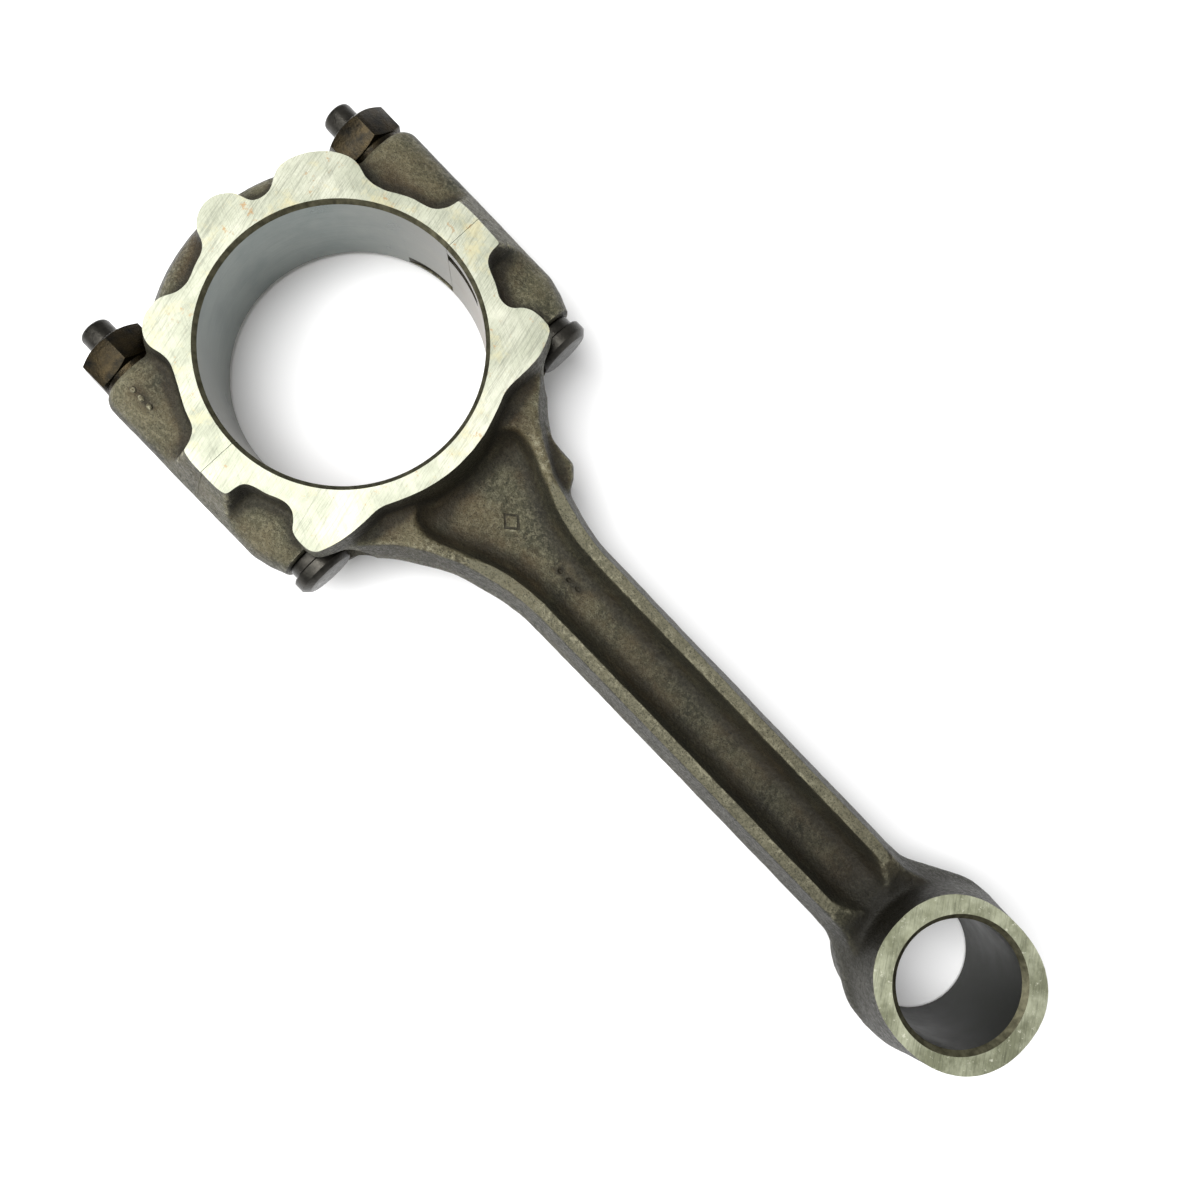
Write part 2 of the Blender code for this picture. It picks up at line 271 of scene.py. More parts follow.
def along(x, keys):
    """A value that eases from key to key, (x, value), without overshooting."""
    if x <= keys[0][0]:
        return keys[0][1]
    for (x0, v0), (x1, v1) in zip(keys, keys[1:]):
        if x <= x1:
            t = (x - x0) / (x1 - x0)
            i = keys.index((x0, v0))
            before = keys[i - 1] if i else keys[i]
            after = keys[i + 2] if i + 2 < len(keys) else keys[i + 1]
            m0 = (v1 - before[1]) / (x1 - before[0]) if i else (v1 - v0) / (x1 - x0)
            m1 = (after[1] - v0) / (after[0] - x0)
            slope = (v1 - v0) / (x1 - x0)
            limit = 3 * abs(slope)
            m0 = max(-limit, min(limit, m0)) if m0 * slope > 0 else 0.0
            m1 = max(-limit, min(limit, m1)) if m1 * slope > 0 else 0.0
            h = x1 - x0
            return (
                v0 * (2 * t**3 - 3 * t**2 + 1)
                + m0 * h * (t**3 - 2 * t**2 + t)
                + v1 * (3 * t**2 - 2 * t**3)
                + m1 * h * (t**3 - t**2)
            )
    return keys[-1][1]


# The forging blanks


def drafted(face, middle_of, top):
    """A slab about the middle plane: the face outline goes up past the top, and swells below it."""
    levels = []
    for z in (-(top + ALLOWANCE), -top, -top / 2, 0.0, top / 2, top, top + ALLOWANCE):
        share = max(0.0, 1.0 - abs(z) / top)
        ring = []
        for x, y in face:
            mx, my = middle_of(x, y)
            ring.append((x + (mx - x) * share, y + (my - y) * share, z))
        levels.append(ring)
    return loft(levels)


def swollen(x, y):
    """Where a point of the cap's face outline lies at the middle plane."""
    return x * CAP_SWELL, y * CAP_SWELL


def shank_swollen(x, y):
    """The same on the rod's side, where the walls are steeper at the shoulders."""
    scale = 1.075 if abs(y) < 22.0 else 1.045
    return x * scale, y * scale


def cap_face():
    """The cap's machined outline, from the joint at +Y round the back to the joint at -Y."""
    return through(
        [
            (6.0, 31.0), (-3.6, 30.9), (-4.7, 29.2), (-6.2, 27.0), (-10.5, 25.4), (-14.4, 23.0),
            (-17.6, 22.3), (-21.0, 23.0), (-25.2, 21.0), (-28.3, 16.6), (-28.9, 12.6),
            (-26.8, 8.8), (-27.6, 5.6), (-30.6, 4.4), (-32.5, 1.4), (-32.3, -1.6), (-30.4, -4.2),
            (-27.4, -5.4), (-26.0, -8.4), (-24.4, -12.8), (-25.9, -17.2), (-24.6, -21.6),
            (-21.6, -23.3), (-17.4, -22.5), (-13.4, -24.2), (-9.6, -26.2), (-6.0, -27.6),
            (-4.8, -29.8), (-3.8, -31.2), (6.0, -31.4),
        ]
    )


def rod_face():
    """The rod's machined outline at the crank end, from the joint at -Y to the joint at +Y."""
    shank = []
    for degrees in range(-26, 27, 13):
        a = math.radians(degrees)
        shank.append((28.1 * math.cos(a), 28.1 * math.sin(a)))
    return through(
        [
            (-6.0, -31.4), (4.6, -31.4), (5.5, -30.9), (5.6, -29.0), (6.3, -27.6), (10.0, -26.3),
            (12.5, -25.2), (14.5, -25.0), (16.0, -26.0), (17.2, -27.4), (18.5, -27.9),
            (21.2, -27.9), (22.5, -27.2), (23.4, -25.0), (24.0, -22.6), (24.3, -18.4),
            (24.4, -14.2),
        ]
        + shank
        + [
            (24.4, 14.2), (24.3, 18.6), (24.0, 22.5), (23.0, 25.4), (21.8, 27.2), (20.2, 27.5),
            (17.6, 27.2), (16.2, 26.4), (14.8, 24.8), (13.0, 24.4), (9.6, 26.0), (6.6, 27.2),
            (5.4, 28.8), (5.0, 30.2), (4.2, 30.9), (-6.0, 31.0),
        ]
    )


def boss(side, stations):
    """A rounded rib round a bolt hole, from (x, shrink all round, outer side drawn in) stations."""
    rings = []
    for x, shrink, draw in stations:
        ring = []
        for i in range(40):
            a = 2 * math.pi * i / 40
            c, s = math.cos(a), math.sin(a)
            reach = BOSS_R - shrink - (draw if c > 0 else 0.0)
            y = reach * math.copysign(abs(c) ** 0.86, c)
            z = (BOSS_R - shrink * 0.8) * math.copysign(abs(s) ** 0.86, s)
            ring.append((x, side * (BOLT_Y + y), z))
        rings.append(ring)
    return loft(rings)


def cap_boss(side):
    start = CAP_SEAT_X - 0.3
    rounded = [(start, 1.2, 0.0), (start + 0.6, 0.4, 0.0), (start + 1.5, 0.0, 0.0)]
    return boss(side, rounded + [(7.0, 0.0, 0.0)])


def rod_boss(side):
    end = HEAD_SEAT_X + 0.8
    return boss(side, [(-7.0, 0.0, 0.0), (13.5, 0.0, 0.0), (17.0, 0.1, 0.8), (end, 0.5, 1.9)])


def boss_bridge(side, start, end):
    """The metal between a bolt boss and the crank ring."""
    low, high = sorted((side * 22.0, side * (BOLT_Y + 1.0)))
    return box_solid((start, low, -6.3), (end, high, 6.3))


def joint_lug(side):
    """The thick lug at the joint, whose outer wall slopes down to the bolt boss."""
    levels = []
    for z, half_x, out in (
        (CRANK_HALF_WIDTH + ALLOWANCE, 4.4, 30.6),
        (CRANK_HALF_WIDTH, 4.9, 31.2),
        (8.4, 5.9, 33.4),
        (4.0, 7.6, 35.3),
        (0.0, 8.4, BOSS_OUTER_Y - 0.3),
    ):
        start, end = -half_x + 0.3, half_x + 0.6
        ring = [(start, 22.0), (end, 22.0), (end, out), (start, out)]
        levels.append([(x, side * y, z) for x, y in ring])
    mirrored = [[(x, y, -z) for x, y, z in ring] for ring in levels[:-1]]
    return loft(levels + mirrored[::-1])


def cap_band():
    """The forged band behind the cap, round about the crank bore."""
    rings = []
    draw = [(7.6, 4.5), (6.4, 3.0), (3.0, 1.3), (0.0, 0.0)]
    for z, drawn in [(-z, d) for z, d in draw] + draw[-2::-1]:
        radius = CAP_BACK_R - drawn
        ring = [(3.0, 25.0), (-20.0, 26.0)]
        for k in range(17):
            a = math.radians(142.0 + 76.0 * k / 16)
            ring.append((radius * math.cos(a), radius * math.sin(a)))
        ring += [(-20.0, -26.0), (3.0, -25.0)]
        rings.append([(x, y, z) for x, y in ring])
    return loft(rings)


# The beam's section along X: half widths at the middle plane and at the flange tops, the channel's
# half width at its mouth, and the half thicknesses of flanges and web
PARTING = [(12.0, 27.0), (21.0, 28.2), (25.0, 24.4), (30.0, 19.4), (35.0, 15.9), (40.0, 13.0),
           (45.0, 11.4), (50.0, 10.1), (56.0, 9.35), (126.0, 9.3), (131.2, 9.4), (132.8, 9.8),
           (134.4, 10.6), (139.0, 13.1), (143.5, 15.4), (147.0, 16.0), (149.0, 16.15)]
FLANGE_EDGE = [(12.0, 25.5), (21.0, 26.4), (25.0, 22.4), (30.0, 16.9), (34.0, 14.0), (37.0, 12.5),
               (40.0, 11.0), (45.0, 9.5), (50.0, 8.3), (56.0, 7.65), (124.0, 7.55), (131.0, 7.6),
               (135.0, 8.6), (140.0, 10.8), (144.0, 12.4), (149.0, 13.2)]
CHANNEL_EDGE = [(27.0, 8.0), (29.0, 11.6), (31.5, 12.4), (34.0, 11.9), (36.0, 11.1), (40.0, 9.4),
                (45.0, 7.4), (50.0, 6.3), (56.0, 5.9), (124.0, 5.8), (126.5, 5.6), (129.0, 4.8),
                (130.8, 3.7), (132.4, 2.2)]
FLANGE_HEIGHT = [(12.0, BEAM_HALF_THICK), (31.5, 7.2), (36.0, 7.1), (40.0, 7.3),
                 (44.0, FLANGE_STOCK), (124.0, FLANGE_STOCK), (128.0, 7.4), (131.0, 6.7),
                 (135.0, 6.2), (149.0, 6.0)]
WEB_HEIGHT = [(26.6, 7.2), (28.0, 6.0), (30.8, WEB_HALF_THICK + 0.2), (33.0, WEB_HALF_THICK),
              (124.0, WEB_HALF_THICK), (128.5, 3.3), (130.4, 4.2), (131.8, 5.5), (133.0, 6.0)]


def beam_section(x):
    parting, edge = along(x, PARTING), along(x, FLANGE_EDGE)
    mouth, top, web = along(x, CHANNEL_EDGE), along(x, FLANGE_HEIGHT), along(x, WEB_HEIGHT)
    depth = top - web
    run = min(1.9, 0.45 * depth + 0.1)
    foot = max(mouth - run, 0.8)
    quarter = [
        (parting + 0.12, 0.0),
        (parting, 0.8),
        (parting - 0.3, 1.4),
        (edge + 0.15, top - 0.5),
        (edge - 0.35, top),
        (mouth + 0.25, top),
        (mouth - 0.15, top - 0.35),
        (foot + 0.35 * run, web + 0.42 * depth),
        (foot - 0.1 * run, web + 0.14 * depth),
        (foot * 0.72, web + 0.03 * depth),
        (foot * 0.35, web),
    ]
    upper = quarter + [(-y, z) for y, z in reversed(quarter)]
    lower = [(y, -z) for y, z in reversed(upper)][1:-1]
    return [(x, y, z) for y, z in upper + lower]


def beam():
    stations = np.concatenate([np.arange(12.0, 27.0, 1.5), np.arange(27.0, 38.0, 0.5),
                               np.arange(38.0, 60.0, 1.0), np.arange(60.0, 122.0, 6.0),
                               np.arange(122.0, 149.5, 0.75)])
    return loft([beam_section(float(x)) for x in stations])


def pin_eye():
    """The pin eye, before it is faced and bored."""
    rings = []
    top = PIN_HALF_WIDTH
    for z in (-(top + ALLOWANCE), -top, -top / 2, 0.0, top / 2, top, top + ALLOWANCE):
        share = max(0.0, 1.0 - abs(z) / top)
        a, b = (face + swell * share for face, swell in zip(PIN_EYE_FACE, PIN_EYE_SWELL))
        power = PIN_EYE_SQUARENESS + PIN_EYE_ROUNDING * share
        ring = []
        for i in range(72):
            c, d = math.cos(2 * math.pi * i / 72), math.sin(2 * math.pi * i / 72)
            x = a * math.copysign(abs(c) ** power, c)
            ring.append((CENTRES + x, b * math.copysign(abs(d) ** power, d), z))
        rings.append(ring)
    return loft(rings)


def side_lug():
    """A low pad on one side of the neck, at the middle plane."""
    rings = []
    for z, inset in ((-3.6, 0.7), (-2.6, 0.1), (0.0, 0.0), (2.6, 0.1), (3.6, 0.7)):
        ring = [(31.0, 10.0), (31.5, 17.4), (35.0, 15.9), (40.4, 15.8 - inset)]
        ring += [(42.2, 14.2 - inset), (44.0, 11.2), (44.0, 8.0)]
        rings.append([(x, y, z) for x, y in ring])
    return loft(rings)


def bar_mark(start, end, wire, height):
    """A short round-ended groove or rib between two points, at a height."""
    first, last = Vector((*start, height)), Vector((*end, height))
    lead = (last - first).normalized()
    aside = Vector((-lead.y, lead.x, 0.0))
    rings = []
    for offset, share in ((-1.0, 0.3), (-0.7, 0.75), (0.0, 1.0)):
        rings.append((first + lead * wire * offset, wire * share))
    for offset, share in ((0.0, 1.0), (0.7, 0.75), (1.0, 0.3)):
        rings.append((last + lead * wire * offset, wire * share))
    made = []
    for middle, radius in rings:
        ring = []
        for k in range(12):
            a = 2 * math.pi * k / 12
            rise = Vector((0, 0, radius * math.sin(a)))
            ring.append(tuple(middle + aside * radius * math.cos(a) + rise))
        made.append(ring)
    return loft(made)


def web_marks():
    """Plain marks sunk in the web: a diamond and a row of three dots."""
    level = WEB_HALF_THICK + 0.12
    corners = [(38.6, 0.5), (40.4, 2.0), (42.2, 0.5), (40.4, -1.0)]
    solids = [bar_mark(corners[i - 1], corners[i], 0.28, level) for i in range(4)]
    for x in (52.6, 54.8, 57.0):
        solids.append(bar_mark((x - 0.1, 0.6), (x + 0.1, 0.6), 0.45, level))
    return solids


def cap_pips():
    """Three plain pips raised on the cap's boss at -Y."""
    middles = (-19.4, -17.4, -15.4)
    return [bar_mark((x - 0.1, -30.6), (x + 0.1, -30.6), 0.5, 7.3) for x in middles]


def neighbours(mesh):
    edges = np.empty(len(mesh.edges) * 2, np.int64)
    mesh.edges.foreach_get("vertices", edges)
    return edges.reshape(-1, 2)


def coordinates(mesh):
    co = np.empty(len(mesh.vertices) * 3)
    mesh.vertices.foreach_get("co", co)
    return co.reshape(-1, 3)


def normals(mesh):
    no = np.empty(len(mesh.vertices) * 3)
    mesh.vertex_normals.foreach_get("vector", no)
    return no.reshape(-1, 3)


def pull(values, edges, count):
    """Each vertex's neighbours' mean, minus its own value."""
    total = np.zeros_like(values)
    degree = np.bincount(edges.ravel(), minlength=count).astype(float)
    for axis in range(values.shape[1]):
        total[:, axis] = np.bincount(edges[:, 0], values[edges[:, 1], axis], count)
        total[:, axis] += np.bincount(edges[:, 1], values[edges[:, 0], axis], count)
    return total / np.maximum(degree, 1)[:, None] - values


def relax(mesh, rounds, concave_rounds):
    """Rounds every edge a little, then fills inner corners with wider fillets."""
    edges = neighbours(mesh)
    co = coordinates(mesh)
    for _ in range(rounds):
        co += 0.5 * pull(co, edges, len(co))
    for _ in range(concave_rounds):
        mesh.vertices.foreach_set("co", co.ravel())
        mesh.update()
        no = normals(mesh)
        inward = np.einsum("ij,ij->i", pull(co, edges, len(co)), no)
        co += 0.6 * np.maximum(inward, 0.0)[:, None] * no
    mesh.vertices.foreach_set("co", co.ravel())
    mesh.update()


def hammer(mesh, seed):
    """The uneven skin that forging scale leaves: shallow waves and fine pits."""
    co = coordinates(mesh)
    no = normals(mesh)
    shift = np.empty(len(co))
    offset = Vector((seed, 7.1, 3.3))
    for i, point in enumerate(co):
        p = Vector(point)
        wave = noise.noise(p * 0.16 + offset)
        grain = noise.noise(p * 0.75 + offset)
        shift[i] = 0.07 * wave + 0.035 * grain
    co += shift[:, None] * no
    mesh.vertices.foreach_set("co", co.ravel())
    mesh.update()


def forge(name, solids, seed):
    blank = gathered(name, solids)
    remesh = blank.modifiers.new("remesh", "REMESH")
    remesh.mode = "VOXEL"
    remesh.voxel_size = VOXEL
    remesh.adaptivity = 0.0
    evaluated(blank)
    relax(blank.data, EDGE_ROUNDS, FILLET_ROUNDS)
    hammer(blank.data, seed)
    return blank


# Machining


def bore(centre_x, radius, half_width, chamfer, steps):
    """The cutter for a bore along Z, which opens out at both ends for the chamfers."""
    past, mouth = half_width + 2.0, radius + chamfer + 2.0
    wall = half_width - chamfer
    stations = [(-past, mouth), (-wall, radius), (wall, radius), (past, mouth)]
    return revolve_z((centre_x, 0.0), stations, steps)


def crank_bore():
    return bore(0.0, CRANK_BORE_R, CRANK_HALF_WIDTH, CRANK_BORE_CHAMFER, 192)


def pin_bore():
    return bore(CENTRES, PIN_BORE_R, PIN_HALF_WIDTH, PIN_BORE_CHAMFER, 128)


def facing(x_low, x_high, level):
    """The two cuts that face an end to its width."""
    return [
        box_solid((x_low, -FAR, level), (x_high, FAR, level + 20.0)),
        box_solid((x_low, -FAR, -level - 20.0), (x_high, FAR, -level)),
    ]


def coining():
    """The two cuts that leave the beam's flanges with flat tops."""
    return [
        box_solid((COIN_START, -30.0, BEAM_HALF_THICK), (COIN_END, 30.0, 20.0)),
        box_solid((COIN_START, -30.0, -20.0), (COIN_END, 30.0, -BEAM_HALF_THICK)),
    ]


def bolt_hole(side):
    return revolve_x(side * BOLT_Y, [(-FAR, HOLE_R), (FAR, HOLE_R)], 64)


def seat_cut(side, start, end, radius):
    """The spot face that a nut or a bolt head sits in."""
    return revolve_x(side * BOLT_Y, [(start, radius), (end, radius)], 64)


def shell_notch(angle, z, half_width):
    """A slot in the bore, left by a disc cutter, for a bearing shell's tang."""
    disc_r, depth = 16.0, 0.75
    reach = CRANK_BORE_R + depth - disc_r
    centre = (reach * math.cos(math.radians(angle)), reach * math.sin(math.radians(angle)))
    return revolve_z(centre, [(z - half_width, disc_r), (z + half_width, disc_r)], 128)


def make_rod():
    solids = [drafted(rod_face(), shank_swollen, CRANK_HALF_WIDTH), beam(), pin_eye(), side_lug()]
    for side in (1, -1):
        solids += [rod_boss(side), boss_bridge(side, -6.0, 18.0), joint_lug(side)]
    rod = forge("rod_forging", solids, 1.7)
    cuts = facing(-40.0, 60.0, CRANK_HALF_WIDTH) + facing(110.0, 200.0, PIN_HALF_WIDTH)
    cuts += [box_solid((-FAR, -FAR, -30.0), (JOINT_GAP / 2, FAR, 30.0)), crank_bore(), pin_bore()]
    for side in (1, -1):
        cuts += [bolt_hole(side), seat_cut(side, HEAD_SEAT_X, 34.0, HEAD_SEAT_CUT_R)]
    return machine(rod, cuts + coining() + [shell_notch(86.0, 8.0, 1.5)] + web_marks())


def make_cap():
    solids = [drafted(cap_face(), swollen, CRANK_HALF_WIDTH), cap_band()]
    for side in (1, -1):
        solids += [cap_boss(side), boss_bridge(side, CAP_SEAT_X + 2.0, 6.0), joint_lug(side)]
    cap = forge("cap_forging", solids, 5.2)
    machine(cap, cap_pips(), "UNION")
    cuts = facing(-FAR, 40.0, CRANK_HALF_WIDTH)
    cuts += [box_solid((-JOINT_GAP / 2, -FAR, -30.0), (FAR, FAR, 30.0)), crank_bore()]
    for side in (1, -1):
        cuts += [bolt_hole(side), seat_cut(side, -40.0, CAP_SEAT_X, NUT_SEAT_CUT_R)]
    return machine(cap, cuts + [shell_notch(95.0, -9.7, 1.3)])


# Bolts and nuts


def thread_radius(x, angle, crest, root):
    """A rounded vee thread's radius at a place along the bolt and round it."""
    turn = (x / PITCH - angle / (2 * math.pi)) % 1.0
    wave = abs(2 * turn - 1.0)
    flat = min(max((wave - 0.12) / 0.74, 0.0), 1.0)
    return root + (crest - root) * flat


def bolt_ring(side, x, radius_at):
    """One ring about a bolt's line, whose radius may change with the angle round it."""
    ring = []
    for i in range(THREAD_STEPS):
        a = 2 * math.pi * i / THREAD_STEPS
        r = radius_at(a)
        ring.append((x, side * BOLT_Y + r * math.cos(a), r * math.sin(a)))
    return ring


def make_bolt(word, side):
    """A fitted bolt: dog point, right-hand thread, ground shank, collar and flatted head."""
    head_x = HEAD_SEAT_X + COLLAR_LENGTH
    thread_end = CAP_SEAT_X + 4.0
    point = [
        (BOLT_POINT_X, 2.2), (BOLT_POINT_X + 0.12, 2.6), (BOLT_POINT_X + 0.35, 2.82),
        (BOLT_POINT_X + 0.75, POINT_R), (NUT_OUTER_X + 0.1, POINT_R), (NUT_OUTER_X + 0.35, 3.2),
    ]
    shank_and_head = [
        (thread_end + 0.5, 3.55), (thread_end + 0.9, 3.9), (thread_end + 1.1, SHANK_R),
        (HEAD_SEAT_X + 0.02, SHANK_R), (HEAD_SEAT_X + 0.1, 4.5), (HEAD_SEAT_X + 0.3, COLLAR_R),
        (head_x - 0.05, COLLAR_R), (head_x, HEAD_R - 0.25), (head_x + 0.25, HEAD_R),
        (BOLT_END_X - 1.0, HEAD_R), (BOLT_END_X - 0.9, HEAD_R - 0.08),
        (BOLT_END_X - 0.08, HEAD_R - 0.95), (BOLT_END_X, HEAD_R - 1.15),
    ]
    rings = [bolt_ring(side, x, lambda a, r=radius: r) for x, radius in point]
    count = int((thread_end - NUT_OUTER_X - 0.5) / (PITCH / SLICES_PER_TURN))
    for k in range(count):
        x = NUT_OUTER_X + 0.5 + k * PITCH / SLICES_PER_TURN
        lead_in = 3.4 + 0.5 * k / SLICES_PER_TURN
        run_out = 3.4 + 0.5 * (count - k) / SLICES_PER_TURN
        crest = min(BOLT_CREST_R, lead_in, run_out)
        rings.append(bolt_ring(side, x, lambda a: thread_radius(x, a, crest, BOLT_ROOT_R)))
    rings += [bolt_ring(side, x, lambda a, r=radius: r) for x, radius in shank_and_head]
    bolt = mesh_object(f"bolt_{word}", *loft(rings))
    low, high = sorted((side * (BOLT_Y - 4.75), side * 10.0))
    return machine(bolt, [box_solid((head_x - 0.02, low, -10.0), (40.0, high, 10.0))])


def make_nut(word, side, turn):
    """A hexagon nut: a domed chamfer outside, a round washer face inside, a tapped hole."""
    inner_x = CAP_SEAT_X - 0.06
    corner_r = NUT_HALF_FLATS / math.cos(math.pi / 6)
    sides = [(NUT_OUTER_X, corner_r), (inner_x, corner_r)]
    nut = mesh_object(f"nut_{word}", *revolve_x(side * BOLT_Y, sides, 6, math.radians(turn)))
    rise = math.tan(math.radians(30))
    blank = [(NUT_OUTER_X, 5.55)]
    for radius in (5.8, 6.2, 6.6, 7.2):
        blank.append((NUT_OUTER_X + (radius - 5.55) * rise, radius))
    blank += [(inner_x - 1.85, 7.2), (inner_x - 1.45, 6.3), (inner_x - 1.25, 5.7), (inner_x, 5.6)]
    machine(nut, [revolve_x(side * BOLT_Y, blank, 96)], "INTERSECT")
    rings = []
    count = int((inner_x - NUT_OUTER_X + 1.0) / (PITCH / SLICES_PER_TURN))
    for k in range(count + 1):
        x = NUT_OUTER_X - 0.5 + k * PITCH / SLICES_PER_TURN
        mouth = max(0.0, NUT_MOUTH_R - (x - NUT_OUTER_X), NUT_MOUTH_R - (inner_x - x))
        rings.append(
            bolt_ring(side, x, lambda a: max(thread_radius(x, a, NUT_CREST_R, NUT_ROOT_R), mouth))
        )
    machine(nut, [loft(rings)])
    bevel = nut.modifiers.new("edges", "BEVEL")
    bevel.width = 0.12
    bevel.segments = 2
    bevel.limit_method = "ANGLE"
    bevel.angle_limit = math.radians(28)
    bevel.use_clamp_overlap = True
    return evaluated(nut)


# Materials


class Nodes:
    """Short names for building one material's nodes."""

    def __init__(self, name):
        self.material = bpy.data.materials.new(name)
        self.material.use_nodes = True
        self.tree = self.material.node_tree
        self.shader = self.tree.nodes["Principled BSDF"]
        self.coords = self.tree.nodes.new("ShaderNodeTexCoord").outputs["Object"]

    def link(self, source, target):
        self.tree.links.new(source, target)

    def mapped(self, scale, turn):
        """Object coordinates scaled to features per millimetre, turned about Z."""
        spin = self.tree.nodes.new("ShaderNodeMapping")
        spin.vector_type = "POINT"
        spin.inputs["Rotation"].default_value = (0.0, 0.0, math.radians(turn))
        self.link(self.coords, spin.inputs["Vector"])
        stretch = self.tree.nodes.new("ShaderNodeMapping")
        stretch.inputs["Scale"].default_value = tuple(1000.0 * s for s in scale)
        self.link(spin.outputs["Vector"], stretch.inputs["Vector"])
        return stretch.outputs["Vector"]

    def noise(self, scale, detail, roughness, turn=0.0):
        scale = scale if isinstance(scale, tuple) else (scale,) * 3
        node = self.tree.nodes.new("ShaderNodeTexNoise")
        node.inputs["Scale"].default_value = 1.0
        node.inputs["Detail"].default_value = detail
        node.inputs["Roughness"].default_value = roughness
        self.link(self.mapped(scale, turn), node.inputs["Vector"])
        return node.outputs["Fac"]

    def ramp(self, source, *stops):
        """A colour ramp from (position, value or colour) stops."""
        node = self.tree.nodes.new("ShaderNodeValToRGB")
        while len(node.color_ramp.elements) < len(stops):
            node.color_ramp.elements.new(0.5)
        for element, (position, value) in zip(node.color_ramp.elements, stops):
            element.position = position
            colour = value if isinstance(value, tuple) else (value,) * 3
            element.color = (*colour, 1.0)
        self.link(source, node.inputs["Fac"])
        return node.outputs["Color"]

    def mix(self, factor, a, b, blend="MIX"):
        node = self.tree.nodes.new("ShaderNodeMix")
        node.data_type = "RGBA"
        node.blend_type = blend
        self.feed(node.inputs["Factor"], factor)
        self.feed(node.inputs[6], a)
        self.feed(node.inputs[7], b)
        return node.outputs[2]

    def math(self, operation, a, b):
        node = self.tree.nodes.new("ShaderNodeMath")
        node.operation = operation
        node.use_clamp = True
        self.feed(node.inputs[0], a)
        self.feed(node.inputs[1], b)
        return node.outputs[0]

    def feed(self, socket, value):
        if isinstance(value, bpy.types.NodeSocket):
            self.link(value, socket)
        elif isinstance(value, tuple):
            socket.default_value = (*value, 1.0)
        else:
            socket.default_value = value

    def along_rod(self, start, end):
        """Rises from 0 to 1 between two X places, in the drawing frame's millimetres."""
        split = self.tree.nodes.new("ShaderNodeSeparateXYZ")
        self.link(self.coords, split.inputs["Vector"])
        reach = self.tree.nodes.new("ShaderNodeMapRange")
        self.link(split.outputs["X"], reach.inputs["Value"])
        reach.inputs["From Min"].default_value = JOINT_X + start * MM
        reach.inputs["From Max"].default_value = JOINT_X + end * MM
        return reach.outputs["Result"]

    def attribute(self, name):
        node = self.tree.nodes.new("ShaderNodeAttribute")
        node.attribute_name = name
        return node.outputs["Fac"]

    def bump(self, *layers):
        """Stacked bumps, each (height source, depth in millimetres)."""
        normal = None
        for height, depth in layers:
            node = self.tree.nodes.new("ShaderNodeBump")
            node.inputs["Strength"].default_value = 1.0
            node.inputs["Distance"].default_value = depth * MM
            self.link(height, node.inputs["Height"])
            if normal:
                self.link(normal, node.inputs["Normal"])
            normal = node.outputs["Normal"]
        self.link(normal, self.shader.inputs["Normal"])

    def finish(self, colour, roughness, metallic):
        self.link(colour, self.shader.inputs["Base Color"])
        self.link(roughness, self.shader.inputs["Roughness"])
        self.shader.inputs["Metallic"].default_value = metallic
        return self.material


def forged_scale():
    """Dark olive forging scale: grainy, brown in patches, black in hollows, worn on edges.

    It has painted shade: darker towards the pin eye where the light falls off, on its steep walls,
    and in the saddle beside the eye.
    """
    n = Nodes("forged_scale")
    blotch = n.noise(0.13, 6.0, 0.65)
    grain = n.noise(1.5, 6.0, 0.75)
    fine = n.noise(4.5, 3.0, 0.6)
    base = n.ramp(
        blotch,
        (0.38, (0.033, 0.033, 0.018)), (0.50, (0.072, 0.068, 0.038)), (0.62, (0.112, 0.102, 0.058)),
    )
    rubbed = n.ramp(grain, (0.47, 0.0), (0.59, 1.0))
    colour = n.mix(n.math("MULTIPLY", rubbed, 0.6), base, (0.190, 0.176, 0.110))
    rust_noise = n.ramp(n.noise(0.06, 6.0, 0.7), (0.45, 0.0), (0.60, 1.0))
    rust = n.math("MULTIPLY", rust_noise, n.math("ADD", 0.45, n.attribute("hollow")))
    colour = n.mix(n.math("MULTIPLY", rust, 0.6), colour, (0.092, 0.056, 0.022))
    # painted shade: darker towards the pin eye, where the light falls off
    painted_falloff = n.ramp(n.along_rod(45.0, 135.0), (0.0, 1.0), (1.0, 0.38))
    colour = n.mix(1.0, colour, painted_falloff, "MULTIPLY")
    dark = n.math("MULTIPLY", n.attribute("hollow"), 0.8)
    colour = n.mix(dark, colour, (0.010, 0.008, 0.004))
    flat = n.math("MULTIPLY", n.attribute("coined"), n.ramp(grain, (0.36, 0.45), (0.60, 0.95)))
    colour = n.mix(flat, colour, (0.124, 0.116, 0.074))
    # painted shade on the steep walls, darker than the faces that look up
    painted_wall_shade = n.math("MULTIPLY", n.attribute("wall"), 0.75)
    colour = n.mix(painted_wall_shade, colour, (0.017, 0.016, 0.011))
    trimmed = n.math("MULTIPLY", n.attribute("trimmed"), 0.4)
    colour = n.mix(trimmed, colour, (0.062, 0.060, 0.048))
    worn_noise = n.ramp(n.noise(0.9, 6.0, 0.8), (0.48, 0.0), (0.60, 1.0))
    worn = n.math("MULTIPLY", n.attribute("edge"), worn_noise)
    colour = n.mix(worn, colour, (0.33, 0.31, 0.21))
    # painted shade in the saddle beside the pin eye
    shaded = n.math("MULTIPLY", n.attribute("saddle"), 0.92)
    colour = n.mix(shaded, colour, (0.006, 0.005, 0.002))
    pits = n.ramp(fine, (0.36, 0.35), (0.48, 1.0))
    colour = n.mix(1.0, colour, pits, "MULTIPLY")
    roughness = n.ramp(grain, (0.40, 0.62), (0.62, 0.38))
    n.bump((n.noise(0.45, 4.0, 0.6), 0.30), (grain, 0.22), (fine, 0.06))
    n.shader.inputs["Specular IOR Level"].default_value = 0.32
    return n.finish(colour, roughness, 0.30)


